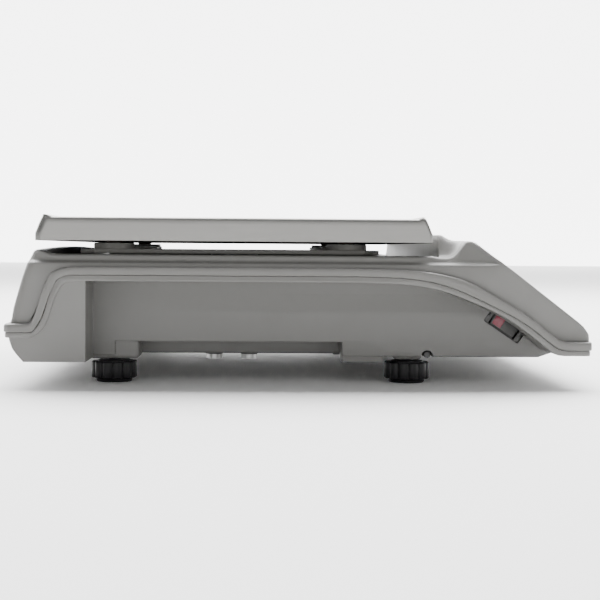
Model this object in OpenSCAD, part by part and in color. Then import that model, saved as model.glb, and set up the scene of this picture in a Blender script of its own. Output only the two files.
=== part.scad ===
// Counting scale: a stainless platter on a single-point load cell, in a two-part moulded casing.
// X runs from the rear to the operator, Y across the width, Z up; the feet stand on Z = 0.

/* [Platter] */
// Length of the platter, rear to front
platter_l = 241; // [190:1:300]
// Width of the platter
platter_w = 330; // [270:1:420]
// Height of the platter's top above the table
platter_top = 103.1; // [98:0.1:125]
// Depth of the platter's skirt
skirt_h = 14.6; // [8:0.1:15]
// Thickness of the platter's sheet
sheet_t = 1; // [0.8:0.1:2]

/* [Casing] */
// How far the casing reaches behind the platter
rear_reach = 17.6; // [14:0.1:30]
// How far the casing reaches beyond the platter on each side
side_reach = 7.5; // [5:0.1:20]
// Gap along X between the platter and the ridge above the panel
ridge_gap = 27; // [22:0.5:45]
// Horizontal run of the sloped operator panel
panel_run = 69.6; // [66:0.1:90]
// Height of the ridge above the panel
ridge_h = 89.8; // [88:0.1:95]
// Height of the deck below the platter
deck_h = 78.3; // [74:0.1:79]
// Wall thickness of the mouldings
wall = 2.6; // [1.8:0.1:3.2]
// Depth of the hand recess along each side, measured from the flange
recess_in = 36; // [28:1:44]
// Height of the upper flange band
band_top = 5.2; // [4:0.1:6]
// Height of the lower flange band
band_base = 3.4; // [2.5:0.1:4.5]
// Height of the floor of the casing above the table
pan_h = 15.7; // [15:0.1:18]

/* [Feet] */
// Diameter of a levelling foot's knob
knob_d = 28.8; // [20:0.1:34]
// Diameter of a foot's threaded stud
stud_d = 8; // [6:0.5:10]
// How far a foot can be screwed down
foot_travel = 8; // [5:0.5:10]

/* [Load cell] */
// Length of the load cell, across the width
cell_l = 130; // [100:1:160]
// Width of the load cell
cell_w = 40; // [30:1:50]
// Height of the load cell
cell_h = 22; // [18:1:26]
// Spacing of the bolts along X
bolt_span = 24; // [18:1:28]
// Spacing of the support posts along X
post_span_x = 150; // [110:1:170]
// Spacing of the support posts along Y
post_span_y = 220; // [160:1:250]

/* [Keypad] */
// Width of one key
key_w = 19; // [14:0.5:21]
// Height of one key up the panel
key_h = 11; // [8:0.5:12]
// How far a key can be pushed
key_travel = 1.2; // [0.5:0.1:1.6]
// Gap around each key
key_gap = 0.35; // [0.2:0.05:0.5]

/* [Battery] */
// Length of the battery along X
battery_l = 70; // [60:1:80]
// Width of the battery along Y
battery_w = 101; // [80:1:120]
// Height of the battery
battery_h = 47; // [35:1:50]

/* [Power switch] */
// Length of the rocker
rocker_l = 19; // [14:0.5:20]
// Height of the rocker
rocker_h = 9; // [7:0.5:9.5]

/* [Hidden] */
$fn = 64;

light_grey = [0.66, 0.655, 0.64];
mid_grey = [0.5, 0.5, 0.48];

// Overall length and width, and the ends of the platter and of the panel, along X
case_l = rear_reach + platter_l + ridge_gap + panel_run;
case_w = platter_w + 2 * side_reach;
xr = -case_l / 2;
xf = case_l / 2;
platter_rear = xr + rear_reach;
platter_front = platter_rear + platter_l;
platter_x = (platter_rear + platter_front) / 2;
ridge_x = platter_front + ridge_gap;
rail_h = deck_h + 2.2;

// The sloped panel runs from the ridge's front edge down to the nose
panel_top_z = ridge_h - 1;
nose_top_z = 38.3;
panel_angle = atan((panel_top_z - nose_top_z) / (panel_run - 3.6));
panel_len = (panel_run - 3.6) / cos(panel_angle);

// The flange stands out from the cover above it by this much
band_step = 4.5;
body_w = case_w - 2 * band_step;
tub_y = case_w / 2 - recess_in;
rear_block_x = xr + 49.3;
floor_z = pan_h + wall;

// The parting line between the cover and the base, rear to front
flat_z = 67.9;
nose_z = 23.8;
flank_slope = (flat_z - 6 - nose_z) / (ridge_x + 49.3 - (platter_front + 9.7));
parting = [
    [xr - 1, 33.3], [xr + 17, 33.3], [xr + 21.6, 40], [xr + 26, 53.5], [xr + 30, 62.5],
    [xr + 35, 66.6], [xr + 41, flat_z], [platter_front - 40, flat_z],
    [platter_front - 14, 67.3], [platter_front - 4, flat_z - 2], [platter_front + 9.7, flat_z - 6.1],
    [ridge_x + 3.7, 52.8], [ridge_x + 28.2, 40.2], [ridge_x + 49.3, nose_z], [xf + 1, nose_z]];

// Load path
load_x = platter_x - 3.5;
cell_z = floor_z + 5.7;
fixed_y = -(cell_l / 2 - 15);
free_y = cell_l / 2 - 15;
bolt_pitch = 15;
spider_t = 2.8;
spider_z = deck_h + 2.6;
boss_h = 3.8;
post_r = 5.4;
// The posts stay clear of the cover's rear crest under a short platter
span_x = min(post_span_x, platter_l - 85);
boss_r = 12.5;
cap_stem_r = 3;
cap_stem_h = 3.2;
seat_z = platter_top - sheet_t;
pillar_w = cell_w - 4;
pillar_l = 28;
cell_gap = 0.8;

// Feet
knob_r = knob_d / 2;
foot_rear_x = xr + 61.6;
foot_front_x = platter_front - 11;
foot_y = case_w / 2 - 46.5;
insert_r = stud_d / 2 + 2;
boss_foot_r = insert_r + 4;
pad_h = 2.4;
knob_low = 2.5;
collar_top = 13.8;
foot_boss_z = collar_top + 0.7;
insert_h = 12;
run_fit = 0.06;

// Keypad, laid out on the panel: s is the distance down the slope, y the place across it
key_rows = 3;
row_pitch = key_h + 3;
col_pitch = key_w + 3;
row_s = 41;
key_cols = [-3, -2, 0, 1, 2, 3];
key_lift = 2;
key_lip = 1;
mat_t = 2;
board_t = 1.6;
mat_top = wall + 0.1 + key_lip + key_travel + 0.3;
window_s = 17;
window_l = 210;
window_h = 22;
window_t = 1.5;
lcd_w = 62;
lcd_h = 19;
lcd_t = 3;
lcd_pitch = 68;
lcd_top = wall + 0.2;
keypad_w = 7 * col_pitch + 2;
keypad_s = row_s + row_pitch;
keypad_board_h = 3 * row_pitch + 2;
display_board_w = window_l + 14;
display_board_h = 25;
vial_s = 15;
vial_y = 140;
vial_r = 8;

// Battery
battery_x = platter_front - 16;
battery_z = 15;
box_wall = 8.5;
door_t = 2;
door_z = 12.5;
door_travel = 60;
box_z = 11.4;
front_pan_h = pan_h + 1;
pocket_gap = 0.5;

// Power switch, in the left side wall, lying along the lower edge of the front flank
switch_x = ridge_x + 23.5;
switch_z = 37.2;
switch_angle = 34;
switch_d = 15;
bezel_l = rocker_l + 5.4;
bezel_h = rocker_h + 1.8;
pivot_depth = 4.6;

// Six screws hold the two halves: their places and the height of the joint
screw_r = 1.9;
screw_xy = [for (side = [-1, 1])
    each [[xr + 25, side * (tub_y - 30)], [load_x + 45, side * (tub_y - 13)],
        [ridge_x - 6, side * (tub_y - 15)]]];
screw_joint_z = 48;

module across(w) {
    rotate([90, 0, 0]) linear_extrude(w, center = true) children();
}

module on_panel(s, y) {
    translate([ridge_x, 0, panel_top_z]) rotate([0, panel_angle, 0]) translate([s, y, 0]) children();
}

module block(x, y, z) {
    translate([-x / 2, -y / 2, 0]) cube([x, y, z]);
}

module above_parting() {
    polygon(concat(parting, [[xf + 1, 200], [xr - 1, 200]]));
}

module below_parting() {
    polygon(concat(parting, [[xf + 1, -60], [xr - 1, -60]]));
}

module length_limits() {
    translate([xr, 0]) square([case_l, 200]);
}

// Side outline of the cover, open at the bottom, for a deck at a given height
module cover_outline(deck) {
    polygon([[xr + 2.5, 0], [xr + 2.5, 38.6], [xr + 5.6, 50], [xr + 8.2, 59], [xr + 11.6, 71],
        [xr + 16.6, 82], [xr + 19.6, 82.8], [xr + 27.6, deck], [platter_front + 15, deck],
        [platter_front + 20, deck + 5], [ridge_x - 3, ridge_h], [ridge_x, panel_top_z],
        [xf - 3.6, nose_top_z], [xf, 31.6], [xf, 0]]);
}

// Between the hand scoops, a cowl joins the ridge and rises to a lip in front of the platter
module cowl_outline() {
    polygon([[platter_front + 4.5, deck_h - wall], [platter_front + 4.5, ridge_h + 4],
        [platter_front + 6, ridge_h + 4], [platter_front + 12, ridge_h + 0.4],
        [ridge_x - 2.5, ridge_h], [ridge_x - 2.5, deck_h - wall]]);
}

cowl_w = body_w - 50;
deck_hole_gap = 5;

module top_cover() {
    color(light_grey) difference() {
        union() {
            across(case_w) intersection() {
                above_parting();
                length_limits();
                offset(delta = band_top) below_parting();
            }
            across(body_w) intersection() {
                above_parting();
                cover_outline(deck_h);
            }
            for (side = [-1, 1]) translate([0, side * (body_w / 2 - 6), 0]) across(12) intersection() {
                above_parting();
                cover_outline(rail_h);
            }
            across(cowl_w) cowl_outline();
        }
        across(body_w - 2 * wall) offset(delta = -wall) cover_outline(deck_h);
        across(cowl_w - 2 * wall) translate([0, -2 * wall]) intersection() {
            translate([wall, wall]) cowl_outline();
            translate([-wall, wall]) cowl_outline();
        }
        // The pillar passes through the deck
        translate([load_x, free_y, deck_h - 8])
            block(pillar_w + 2 * deck_hole_gap, pillar_l + 2 * deck_hole_gap, 20);
        for (row = [0 : key_rows - 1], col = key_cols)
            on_panel(row_s + row * row_pitch, col * col_pitch) translate([0, 0, -9])
                block(key_h + 2 * key_gap, key_w + 2 * key_gap, 12);
        on_panel(window_s, 0) translate([0, 0, -window_t]) block(window_h, window_l, 9);
        on_panel(window_s, 0) translate([0, 0, -9]) block(window_h - 5, window_l - 5, 12);
        on_panel(vial_s, vial_y) translate([0, 0, -9]) cylinder(r = vial_r + 1.2, h = 12);
    }
    color(light_grey) {
        intersection() {
            across(body_w - wall) offset(delta = -wall / 2) cover_outline(deck_h);
            for (p = screw_xy) translate([p[0], p[1], screw_joint_z]) difference() {
                cylinder(r = 4.5, h = 60);
                translate([0, 0, -1]) cylinder(r = screw_r, h = 14);
            }
        }
        for (p = panel_screw_sy) on_panel(p[0], p[1]) translate([0, 0, -p[2]]) difference() {
            cylinder(r = 3, h = p[2] - wall / 2);
            translate([0, 0, -1]) cylinder(r = 1.2, h = p[2] - wall + 0.6);
        }
    }
}

// Places on the panel and depths of the screws that hold the two panel boards
display_depth = lcd_top + lcd_t;
keypad_depth = mat_top + mat_t;
panel_screw_sy = [
    each [for (ds = [-8, 8], side = [-1, 1]) [window_s + ds, side * (window_l / 2 + 4), display_depth]],
    each [for (ds = [-1, 1], side = [-1, 1])
        [keypad_s + ds * row_pitch, side * (keypad_w / 2 + 4), keypad_depth]],
    [keypad_s, -col_pitch, keypad_depth]];

// Side outline of the tub, open at the top
module tub_outline(low_rear, low_front) {
    polygon([[xr + 3.6, 200], [xr + 3.6, 29.1], [xr + 5.6, 23.9], [xr + 8.2, 20.4],
        [xr + 12.2, pan_h], [rear_block_x, pan_h], [rear_block_x, low_rear],
        [platter_front - 53, low_rear], [platter_front - 53, low_front],
        [ridge_x + 44, low_front], [xf - 10, nose_z - 2], [xf - 10, 200]]);
}

module rear_block_outline() {
    intersection() {
        tub_outline(pan_h, front_pan_h);
        translate([xr, 0]) square([rear_block_x - xr, 220]);
    }
}

side_low = pan_h + 10;
// Pads under the floor take the heads of the load cell's bolts, and a lip stands before each front foot
bolt_pad_z = pan_h - 4;
lip_z = front_pan_h - 4.1;
pan_y = tub_y - 36;

module base_case() {
    box_l = battery_l + 2 * pocket_gap + 6;
    box_w = battery_w + 2 * pocket_gap + 2 * box_wall;
    color(light_grey) difference() {
        union() {
            difference() {
                union() {
                    across(case_w - 1.2) intersection() {
                        below_parting();
                        length_limits();
                        offset(delta = band_base) above_parting();
                    }
                    across(2 * tub_y) intersection() {
                        below_parting();
                        tub_outline(side_low, front_pan_h);
                    }
                    across(2 * pan_y) intersection() {
                        below_parting();
                        tub_outline(pan_h, front_pan_h);
                    }
                    across(case_w - 3) intersection() {
                        below_parting();
                        rear_block_outline();
                    }
                }
                across(2 * tub_y - 2 * wall) offset(delta = -wall) tub_outline(side_low, front_pan_h);
                across(2 * pan_y - 2 * wall) offset(delta = -wall) tub_outline(pan_h, front_pan_h);
                across(case_w - 3 - 2 * wall) offset(delta = -wall) rear_block_outline();
            }
            foot_places() translate([0, 0, foot_boss_z]) cylinder(r = boss_foot_r, h = insert_h + 4);
            translate([battery_x, 0, box_z]) block(box_l, box_w, front_pan_h + wall - box_z);
            for (p = screw_xy) translate([p[0], p[1], low_at(p)])
                cylinder(r = 6, h = screw_joint_z - low_at(p));
            for (p = board_screw_xy) translate([p[0], p[1], floor_z - 1]) cylinder(r = 3, h = 7);
            for (x = [-1, 1], y = [-1, 1])
                translate([load_x + x * bolt_span / 2, fixed_y + y * bolt_pitch / 2, bolt_pad_z])
                    cylinder(r = 6, h = floor_z - bolt_pad_z);
            for (side = [-1, 1]) translate([platter_front - 40, side * (tub_y - 18), lip_z])
                block(26, 29, front_pan_h + 1 - lip_z);
        }
        foot_places() translate([0, 0, foot_boss_z - 1]) cylinder(r = insert_r, h = insert_h + 1);
        foot_places() cylinder(r = stud_d / 2 + 0.8, h = 60);
        // The battery pocket, and the grooves that its door slides in
        translate([battery_x, 0, box_z - 1])
            block(battery_l + 2 * pocket_gap, battery_w + 2 * pocket_gap, 20);
        translate([battery_x - battery_l / 2 - pocket_gap - 1, -battery_w / 2 - 6, door_z - 0.3])
            cube([battery_l + 40, battery_w + 12, door_t + 0.6]);
        for (p = screw_xy) translate([p[0], p[1], 0]) {
            cylinder(r = 4.2, h = screw_joint_z - 6);
            cylinder(r = screw_r + 0.3, h = screw_joint_z + 1);
        }
        for (p = board_screw_xy) translate([p[0], p[1], floor_z + 1]) cylinder(r = 1.3, h = 7);
        for (x = [-1, 1], y = [-1, 1])
            translate([load_x + x * bolt_span / 2, fixed_y + y * bolt_pitch / 2, 0])
                cylinder(r = 3.2, h = 30);
        translate([load_x, free_y, floor_z - 6]) cylinder(r = 3, h = 9);
        switch_place() translate([0, 0, -10]) block(bezel_l, bezel_h, 20);
        translate([jack_x, tub_y, jack_z]) rotate([90, 0, 0]) cylinder(r = 4, h = 3 * wall, center = true);
        for (side = [-1, 1]) translate([battery_x + side * (battery_l / 2 + 9), 0, front_pan_h - 1])
            cylinder(r = 1.6, h = 9);
    }
}

// Outside height of the floor at a screw
function low_at(p) = p[0] < rear_block_x ? pan_h
    : p[0] > platter_front - 53 || abs(p[1]) < pan_y ? front_pan_h : side_low;

// The board is cut shorter where a short platter brings the load cell close
board_l = min(66, load_x - cell_w / 2 - xr - 48.6);
board_x = xr + 33 + board_l / 2;
board_y = 116;
board_screw_xy = [for (x = [-1, 1], y = [-1, 1])
    [board_x + x * (board_l / 2 - 5), y * (board_y / 2 - 5)]];
jack_x = load_x - 30;
jack_z = 45;

module foot_places() {
    for (x = [foot_rear_x, foot_front_x], y = [-1, 1]) translate([x, y * foot_y, 0]) children();
}

// Local z points out of the left side wall, and local x runs down along the flank
module switch_place() {
    translate([switch_x, -tub_y, switch_z]) rotate([90, 0, 0]) rotate([0, 0, -switch_angle]) children();
}

module case_screws() {
    color("silver") for (p = screw_xy) translate([p[0], p[1], screw_joint_z - 6]) {
        translate([0, 0, -2.6]) cylinder(r = 3.6, h = 2.6);
        cylinder(r = screw_r, h = 18);
    }
}

module platter_shell(inset, low) {
    end_slope = 5;
    slope_h = 9.6;
    l = platter_l / 2 - inset;
    across(platter_w - 2 * inset) translate([platter_x, platter_top]) polygon([
        [-l, low], [-l, -slope_h - inset], [-l + end_slope, -inset],
        [l - end_slope, -inset], [l, -slope_h - inset], [l, low]]);
}

module platter() {
    color([0.62, 0.62, 0.61]) difference() {
        platter_shell(0, -skirt_h);
        platter_shell(sheet_t, -skirt_h - 5);
    }
}

module post_places() {
    for (x = [-1, 1], y = [-1, 1])
        translate([load_x + x * span_x / 2, y * post_span_y / 2, 0]) children();
}

module platter_cups() {
    color([0.6, 0.6, 0.6]) post_places() translate([0, 0, seat_z - 4]) difference() {
        cylinder(r = post_r + 2, h = 4);
        translate([0, 0, -1]) cylinder(r = post_r + 0.7, h = 6);
    }
}

module support_caps() {
    boss_top = spider_z + spider_t + boss_h;
    color([0.3, 0.21, 0.17]) post_places() {
        translate([0, 0, boss_top]) cylinder(r = post_r, h = seat_z - boss_top);
        translate([0, 0, boss_top - cap_stem_h]) cylinder(r = cap_stem_r, h = cap_stem_h + 1);
    }
}

module spider() {
    half_x = span_x / 2 + 20.5;
    half_y = post_span_y / 2 + 18;
    window_x = half_x - 42;
    color([0.38, 0.38, 0.36]) difference() {
        union() {
            translate([load_x, 0, spider_z]) linear_extrude(spider_t) difference() {
                polygon([for (c = [[1, 1], [-1, 1], [-1, -1], [1, -1]])
                    each (c[0] * c[1] > 0
                        ? [[c[0] * half_x, c[1] * (half_y - 10)], [c[0] * (half_x - 10), c[1] * half_y]]
                        : [[c[0] * (half_x - 10), c[1] * half_y], [c[0] * half_x, c[1] * (half_y - 10)]])]);
                for (side = [-1, 1]) translate([-window_x, side * (half_y / 2 + 22) - 26])
                    square([2 * window_x, 42]);
            }
            post_places() translate([0, 0, spider_z]) cylinder(r = boss_r, h = spider_t + boss_h);
            for (side = [-1, 1]) translate([load_x + side * (half_x - 34), 0, spider_z])
                block(3, 2 * half_y - 60, spider_t + 2);
        }
        post_places() translate([0, 0, spider_z + spider_t + boss_h - cap_stem_h])
            cylinder(r = cap_stem_r, h = 10);
        spider_bolt_places() {
            translate([0, 0, spider_z - 1]) cylinder(r = 3.2, h = 10);
            translate([0, 0, spider_z + spider_t - sink_h])
                cylinder(r1 = 3.2, r2 = sink_r + 0.2, h = sink_h + 0.01);
        }
    }
}

// Countersunk heads of the bolts that hold the spider
sink_h = 2.4;
sink_r = 5.4;

module spider_bolt_places() {
    for (x = [-1, 1], y = [-1, 1])
        translate([load_x + x * bolt_span / 2, free_y + y * bolt_pitch / 2, 0]) children();
}

module spider_pillar() {
    color("silver") difference() {
        translate([load_x, free_y, cell_z + cell_h]) block(pillar_w, pillar_l, spider_z - cell_z - cell_h);
        spider_bolt_places() cylinder(r = 3.2, h = 200);
    }
}

module spider_bolts() {
    top = spider_z + spider_t;
    foot = cell_z + cell_h - 10;
    color("silver") spider_bolt_places() {
        translate([0, 0, foot]) cylinder(r = 3, h = top - foot);
        translate([0, 0, top - sink_h]) cylinder(r1 = 3, r2 = sink_r, h = sink_h);
    }
}

module load_cell() {
    color([0.75, 0.76, 0.78]) difference() {
        translate([load_x, 0, cell_z]) block(cell_w, cell_l, cell_h);
        for (y = [-1, 1]) translate([load_x, y * 13, cell_z + cell_h / 2]) rotate([0, 90, 0])
            cylinder(r = cell_h / 2 - 3, h = cell_w + 2, center = true);
        translate([load_x, 0, cell_z + cell_h / 2]) block(cell_w + 2, 26, 4);
        for (x = [-1, 1], y = [-1, 1])
            translate([load_x + x * bolt_span / 2, fixed_y + y * bolt_pitch / 2, cell_z - 1])
                cylinder(r = 3, h = 14);
        spider_bolt_places() translate([0, 0, cell_z + cell_h - 11]) cylinder(r = 3 + run_fit, h = 12);
    }
}

module cell_spacer() {
    color("silver") difference() {
        translate([load_x, fixed_y, floor_z]) block(cell_w, 28, cell_z - floor_z);
        for (x = [-1, 1], y = [-1, 1])
            translate([load_x + x * bolt_span / 2, fixed_y + y * bolt_pitch / 2, floor_z - 1])
                cylinder(r = 3.2, h = 20);
    }
}

module cell_base_bolts() {
    color([0.35, 0.35, 0.35]) for (x = [-1, 1], y = [-1, 1])
        translate([load_x + x * bolt_span / 2, fixed_y + y * bolt_pitch / 2, 0]) {
            translate([0, 0, bolt_pad_z - 3]) cylinder(r = 5.5, h = 3);
            translate([0, 0, bolt_pad_z]) cylinder(r = 3, h = cell_z + 11 - bolt_pad_z);
        }
}

module overload_stop() {
    color("silver") translate([load_x, free_y, 0]) {
        translate([0, 0, floor_z - wall]) cylinder(r = 3, h = cell_z - cell_gap - floor_z + wall);
        translate([0, 0, floor_z]) cylinder(r = 5.5, h = 2.6, $fn = 6);
    }
}

module main_board() {
    color([0.1, 0.35, 0.2]) difference() {
        translate([board_x, 0, floor_z + 6]) {
            block(board_l, board_y, board_t);
            translate([4, 0, board_t]) block(14, 14, 2.2);
            translate([15 - board_l / 2, 30, board_t]) block(16, 16, 10);
            translate([13 - board_l / 2, -28, board_t]) block(12, 20, 8);
            translate([board_l / 2 - 9, -20, board_t]) block(7, 26, 6);
        }
        for (p = board_screw_xy) translate([p[0], p[1], floor_z]) cylinder(r = 1.7, h = 12);
    }
}

module board_screws() {
    color("silver") for (p = board_screw_xy) translate([p[0], p[1], floor_z + 6 + board_t]) {
        translate([0, 0, -5]) cylinder(r = 1.3, h = 5);
        cylinder(r = 2.8, h = 1.8);
    }
}

module lcd(y) {
    color([0.55, 0.62, 0.5]) on_panel(window_s, y) translate([0, 0, -lcd_top - lcd_t])
        block(lcd_h, lcd_w, lcd_t);
}

module lcd_weight() { lcd(-lcd_pitch); }
module lcd_unit_weight() { lcd(0); }
module lcd_count() { lcd(lcd_pitch); }

module display_board() {
    color([0.1, 0.35, 0.2]) difference() {
        on_panel(window_s, 0) translate([0, 0, -display_depth - board_t])
            block(display_board_h, display_board_w, board_t);
        panel_screw_holes();
    }
}

module panel_screw_holes() {
    for (p = panel_screw_sy) on_panel(p[0], p[1]) translate([0, 0, -p[2] - 5]) cylinder(r = 1.5, h = 10);
}

module display_window() {
    color([0.2, 0.22, 0.22]) on_panel(window_s, 0) translate([0, 0, -window_t])
        block(window_h - 0.3, window_l - 0.3, window_t);
}

module keypad_mat() {
    color([0.4, 0.4, 0.4]) on_panel(keypad_s, 0) translate([0, 0, -mat_top - mat_t])
        difference() {
            block(keypad_board_h - 4, keypad_w, mat_t);
            translate([0, -col_pitch, -1]) cylinder(r = 4, h = mat_t + 2);
        }
}

module keypad_board() {
    color([0.1, 0.35, 0.2]) difference() {
        on_panel(keypad_s, 0) translate([0, 0, -keypad_depth - board_t])
            block(keypad_board_h, keypad_w + 14, board_t);
        panel_screw_holes();
    }
}

module panel_screws() {
    color("silver") for (p = panel_screw_sy) on_panel(p[0], p[1]) translate([0, 0, -p[2] - board_t]) {
        cylinder(r = 1.2, h = board_t + 2.6);
        translate([0, 0, -1.6]) cylinder(r = 2.5, h = 1.6);
    }
}

// One key: a cap that stands proud of the panel, and a lip that keeps it from falling out
module key(col, row, tone) {
    color(tone) on_panel(row_s + row * row_pitch, key_cols[col] * col_pitch) {
        translate([0, 0, -wall - 0.1]) block(key_h, key_w, wall + 0.1 + key_lift);
        translate([0, 0, -wall - 0.1 - key_lip]) block(key_h + 1.6, key_w + 1.6, key_lip);
    }
}

module battery() {
    color([0.12, 0.12, 0.13]) translate([battery_x, 0, battery_z]) {
        block(battery_l, battery_w, battery_h);
        translate([battery_l / 2, -battery_w / 2 + 12, battery_h - 9]) rotate([0, 90, 0])
            cylinder(r = 3, h = 3);
    }
}

module battery_strap() {
    reach = battery_l / 2 + 0.3;
    top = battery_z + battery_h;
    low = front_pan_h + wall;
    t = 1.2;
    color("silver") difference() {
        translate([battery_x, 0, 0]) across(20) polygon([
            [-reach - t - 10, low], [-reach, low], [-reach, top], [reach, top], [reach, low],
            [reach + t + 10, low], [reach + t + 10, low + t], [reach + t, low + t],
            [reach + t, top + t], [-reach - t, top + t], [-reach - t, low + t],
            [-reach - t - 10, low + t]]);
        for (side = [-1, 1]) translate([battery_x + side * (battery_l / 2 + 9), 0, low - 1])
            cylinder(r = 1.6, h = 9);
    }
}

module battery_door() {
    start = battery_x - battery_l / 2 - pocket_gap - 0.7;
    finish = battery_x + battery_l / 2 + pocket_gap + 3;
    color([0.3, 0.3, 0.29]) translate([start, -battery_w / 2 - 5.6, door_z])
        cube([finish - start, battery_w + 11.2, door_t]);
}

module switch_body() {
    color([0.35, 0.35, 0.35]) switch_place() translate([0, 0, -switch_d]) difference() {
        block(bezel_l - 0.1, bezel_h - 0.1, switch_d - 0.6);
        translate([0, 0, 3]) block(rocker_l + 0.8, rocker_h + 0.6, switch_d);
        translate([0, 0, switch_d - pivot_depth]) rotate([90, 0, 0])
            cylinder(r = 1.15, h = rocker_h + 4, center = true);
    }
}

module switch_rocker() {
    color([0.5, 0.2, 0.24]) switch_place() translate([0, 0, -2.6]) rotate([90, 0, 0]) {
        linear_extrude(rocker_h, center = true)
            polygon([[-rocker_l / 2, -3.6], [-rocker_l / 2 + 0.7, 1.6], [0, 0.4],
                [rocker_l / 2 - 0.4, -0.9], [rocker_l / 2, -3.2], [0, -5.4]]);
        // The pivot's two pins turn in bores in the switch's body
        translate([0, 2.6 - pivot_depth, 0]) cylinder(r = 1, h = rocker_h + 1.2, center = true);
    }
}

module dc_jack() {
    color([0.12, 0.12, 0.12]) translate([jack_x, tub_y - wall, jack_z]) rotate([90, 0, 0]) {
        difference() {
            union() {
                block(9, 11, 13);
                translate([0, 0, -wall]) cylinder(r = 3.9, h = wall + 1);
            }
            translate([0, 0, -wall - 1]) cylinder(r = 2.9, h = wall + 10);
        }
        translate([0, 0, -wall + 1]) cylinder(r = 1, h = wall + 10);
    }
}

module level_holder() {
    color([0.2, 0.2, 0.2]) on_panel(vial_s, vial_y) difference() {
        union() {
            translate([0, 0, -6.5]) cylinder(r = vial_r + 1.1, h = 6.5);
            cylinder(r = vial_r + 2.6, h = 0.9);
        }
        translate([0, 0, -5.5]) cylinder(r = vial_r, h = 10);
    }
}

module level_vial() {
    color([0.75, 0.85, 0.3, 0.6]) on_panel(vial_s, vial_y) translate([0, 0, -5.5])
        cylinder(r = vial_r, h = 5.9);
}

module foot_inserts() {
    color([0.75, 0.6, 0.3]) foot_places() translate([0, 0, foot_boss_z]) difference() {
        cylinder(r = insert_r, h = insert_h);
        translate([0, 0, -1]) cylinder(r = stud_d / 2 + run_fit, h = insert_h + 2);
    }
}

module foot_pad(x, side) {
    color([0.08, 0.08, 0.08]) translate([x, side * foot_y, 0]) difference() {
        cylinder(r = knob_r - 3.2, h = pad_h);
        translate([0, 0, 0.8]) cylinder(r = 4 + run_fit, h = 5);
    }
}

module foot_pad_rl() { foot_pad(foot_rear_x, -1); }
module foot_pad_rr() { foot_pad(foot_rear_x, 1); }
module foot_pad_fl() { foot_pad(foot_front_x, -1); }
module foot_pad_fr() { foot_pad(foot_front_x, 1); }

module foot_knob(x, side) {
    lobes = 12;
    color([0.05, 0.05, 0.06]) translate([x, side * foot_y, 0]) {
        difference() {
            union() {
                translate([0, 0, knob_low]) cylinder(r = knob_r, h = 8.4);
                translate([0, 0, knob_low]) cylinder(r = knob_r - 4, h = collar_top - knob_low);
            }
            for (turn = [0 : lobes - 1]) rotate(turn * 360 / lobes) translate([knob_r + 0.8, 0, 0])
                cylinder(r = 2, h = 12, $fn = 24);
        }
        translate([0, 0, 0.9]) cylinder(r = 4, h = 4);
        translate([0, 0, collar_top - 1]) cylinder(r = stud_d / 2, h = foot_travel + insert_h + 2);
    }
}

module foot_knob_rl() { foot_knob(foot_rear_x, -1); }
module foot_knob_rr() { foot_knob(foot_rear_x, 1); }
module foot_knob_fl() { foot_knob(foot_front_x, -1); }
module foot_knob_fr() { foot_knob(foot_front_x, 1); }

module cell_cable() {
    board_edge = board_x + board_l / 2;
    route = [[load_x, -cell_l / 2 - 2, cell_z + 11], [load_x - 6, -cell_l / 2 - 11, cell_z + 10],
        [board_edge + 14, -cell_l / 2 - 4, floor_z + 12], [board_edge + 8, -26, floor_z + 11],
        [board_edge + 1, -22, floor_z + 10.6]];
    color([0.15, 0.15, 0.15]) for (i = [0 : len(route) - 2]) hull() {
        translate(route[i]) sphere(r = 2, $fn = 16);
        translate(route[i + 1]) sphere(r = 2, $fn = 16);
    }
}

module ribbon_cable() {
    start = board_x + board_l / 2 - 16;
    low = floor_z + 6 + board_t;
    high = battery_z + battery_h + 3;
    color([0.6, 0.6, 0.58]) translate([0, -30, 0]) across(20) polygon([
        [start, low], [start, low + 24], [load_x - 12, high - 8], [load_x + 40, high],
        [ridge_x - 4, high], [ridge_x + 2, high + 8], [ridge_x + 3, high + 8],
        [ridge_x - 3, high - 1], [load_x + 40, high - 1], [load_x - 12, high - 9],
        [start + 1, low + 23.5], [start + 1, low]]);
}

base_case();
top_cover();
case_screws();
platter();
platter_cups();
support_caps();
spider();
spider_pillar();
spider_bolts();
load_cell();
cell_spacer();
cell_base_bolts();
overload_stop();
main_board();
board_screws();
lcd_weight();
lcd_unit_weight();
lcd_count();
display_board();
display_window();
keypad_mat();
keypad_board();
panel_screws();
key(0, 0, mid_grey);  // key_zero
key(1, 0, mid_grey);  // key_tare
key(0, 1, mid_grey);  // key_sample
key(1, 1, mid_grey);  // key_unit
key(0, 2, mid_grey);  // key_add
key(1, 2, mid_grey);  // key_recall
key(2, 0, light_grey);  // key_7
key(3, 0, light_grey);  // key_8
key(4, 0, light_grey);  // key_9
key(5, 0, light_grey);  // key_0
key(2, 1, light_grey);  // key_4
key(3, 1, light_grey);  // key_5
key(4, 1, light_grey);  // key_6
key(5, 1, light_grey);  // key_point
key(2, 2, light_grey);  // key_1
key(3, 2, light_grey);  // key_2
key(4, 2, light_grey);  // key_3
key(5, 2, light_grey);  // key_clear
battery();
battery_strap();
battery_door();
switch_body();
switch_rocker();
dc_jack();
level_holder();
level_vial();
foot_inserts();
foot_pad_rl();
foot_pad_rr();
foot_pad_fl();
foot_pad_fr();
foot_knob_rl();
foot_knob_rr();
foot_knob_fl();
foot_knob_fr();
cell_cable();
ribbon_cable();
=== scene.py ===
# %% [markdown]
# # A counting scale
# A bench counting scale has a stainless platter on a load cell, a moulded casing with a sloped operator's
# panel, and four feet that screw up and down. The engineering model comes first: it already holds every
# sub-part at its real size and place. This lesson gives those parts their finished shapes and surfaces.

# %% Load the engineering model
import math

import bpy
import numpy as np
from mathutils import Matrix, Vector


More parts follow.
